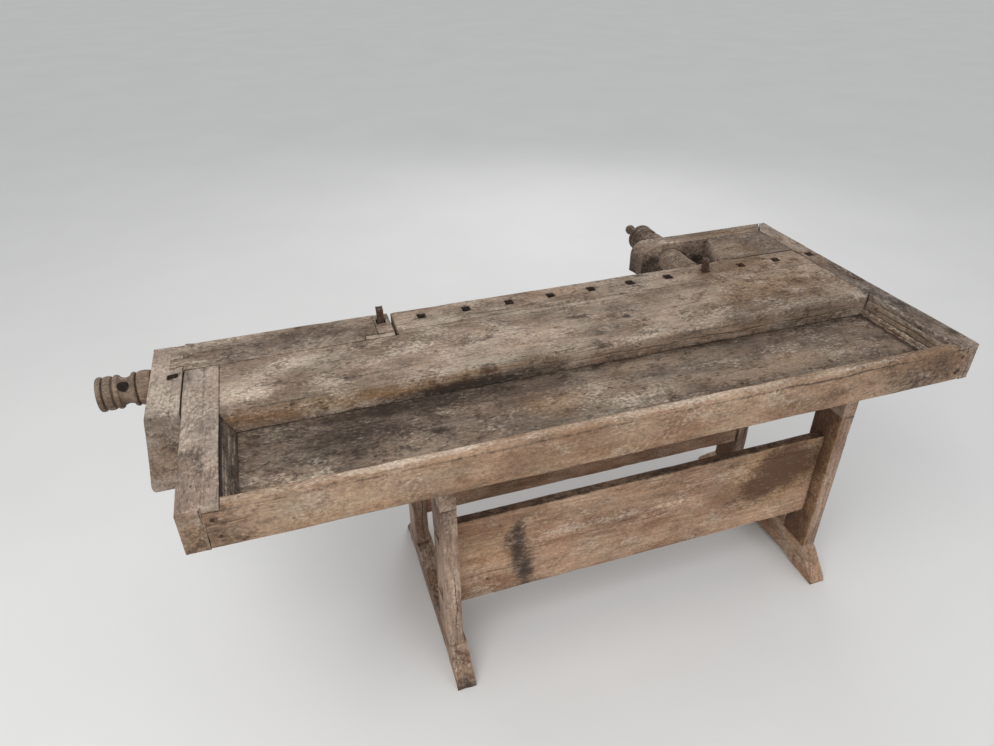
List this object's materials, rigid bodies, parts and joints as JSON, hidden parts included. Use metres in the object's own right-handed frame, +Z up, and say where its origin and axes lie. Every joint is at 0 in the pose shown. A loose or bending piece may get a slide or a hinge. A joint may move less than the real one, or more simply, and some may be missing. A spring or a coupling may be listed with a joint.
{
  "type": "woodworking bench",
  "caption": "Old joiner's bench with a sunken tool tray, a tail vise, a shoulder vise, square dog holes and a sled-footed trestle base.",
  "frame": {"origin": "centre of the overall box, screws included, on the floor under the bench", "axes": "+X along the bench from the tail vise to the shoulder vise's end, +Y across it from the tray side to the worker's side, +Z up"},
  "size_m": [2.2214, 1.184, 0.895],
  "materials": {
    "top_wood": "worn, weathered grey-brown end caps and top",
    "slab_wood": "worn and oiled, with dark stains",
    "rail_wood": "bare softwood, pinkish tan, worn edges",
    "tray_wood": "dark, stained by use",
    "cap_wood": "grey, weathered hardwood",
    "vise_wood": "grey-brown, worn hardwood",
    "screw_wood": "turned and threaded hardwood, dark with age",
    "dog_wood": "dark hardwood, worn",
    "base_wood": "bare softwood, pinkish tan",
    "post_wood": "bare softwood, darkened on the inner sides",
    "wedge_wood": "dark wedges and pegs",
    "old_iron": "rusty dark iron"
  },
  "bodies": {
    "bench": {"chop_guide_hanger": "base_wood", "dog_strip": "slab_wood", "front_beam": "top_wood", "front_stretcher": "base_wood", "left_bearer": "post_wood", "left_end_cap": "cap_wood", "left_foot": "base_wood", "left_front_post": "post_wood", "left_rear_post": "post_wood", "left_tray_ramp": "tray_wood", "rail_nails": "old_iron", "rear_stretcher": "base_wood", "right_bearer": "post_wood", "right_end_cap": "cap_wood", "right_foot": "base_wood", "right_front_post": "post_wood", "right_rear_post": "post_wood", "right_tray_ramp_lower": "tray_wood", "right_tray_ramp_upper": "tray_wood", "shoulder_block": "top_wood", "slab": "slab_wood", "stretcher_wedges": "wedge_wood", "tail_guide_strip": "vise_wood", "tail_runner_hanger": "base_wood", "top_pegs": "wedge_wood", "tray_board": "tray_wood", "tray_rail": "rail_wood"},
    "tail_vise": {"tail_head_block": "cap_wood", "tail_arm_top": "slab_wood", "tail_arm_front": "slab_wood", "tail_jaw_block": "slab_wood", "tail_tie_block": "vise_wood", "tail_runner": "vise_wood", "runner_wedge": "wedge_wood", "tail_garter_key": "wedge_wood"},
    "tail_screw": {"tail_screw": "screw_wood"},
    "tail_dog": {"tail_dog": "dog_wood", "tail_dog_spring": "dog_wood"},
    "front_chop": {"front_chop": "vise_wood", "chop_guide_bar": "vise_wood", "front_garter_key": "wedge_wood"},
    "front_screw": {"front_screw": "screw_wood"},
    "bench_dog": {"bench_dog": "dog_wood", "bench_dog_spring": "dog_wood"}
  },
  "joints": [
    {"name": "tail_vise_slide", "type": "slide", "parent": "bench", "child": "tail_vise", "axis": [-1, 0, 0], "range_m": [0, 0.18]},
    {"name": "tail_screw_turn", "type": "hinge", "parent": "tail_vise", "child": "tail_screw", "pos_m": [-0.59935, 0.02, 0.784], "axis": [-1, 0, 0], "range_deg": [-5, 5405]},
    {"name": "tail_dog_slide", "type": "slide", "parent": "tail_vise", "child": "tail_dog", "axis": [0, 0, 1], "range_m": [-0.045, 0.02]},
    {"name": "front_chop_slide", "type": "slide", "parent": "bench", "child": "front_chop", "axis": [0, 1, 0], "range_m": [0, 0.13]},
    {"name": "front_screw_turn", "type": "hinge", "parent": "front_chop", "child": "front_screw", "pos_m": [0.68766, 0.108, 0.791], "axis": [0, 1, 0], "range_deg": [-5, 3905]},
    {"name": "bench_dog_slide", "type": "slide", "parent": "bench", "child": "bench_dog", "axis": [0, 0, 1], "range_m": [-0.045, 0.02]}
  ],
  "couplings": [
    {"joint": "tail_screw_turn", "follows": "tail_vise_slide", "rad_per_m": 523.6},
    {"joint": "front_screw_turn", "follows": "front_chop_slide", "rad_per_m": 523.6}
  ]
}
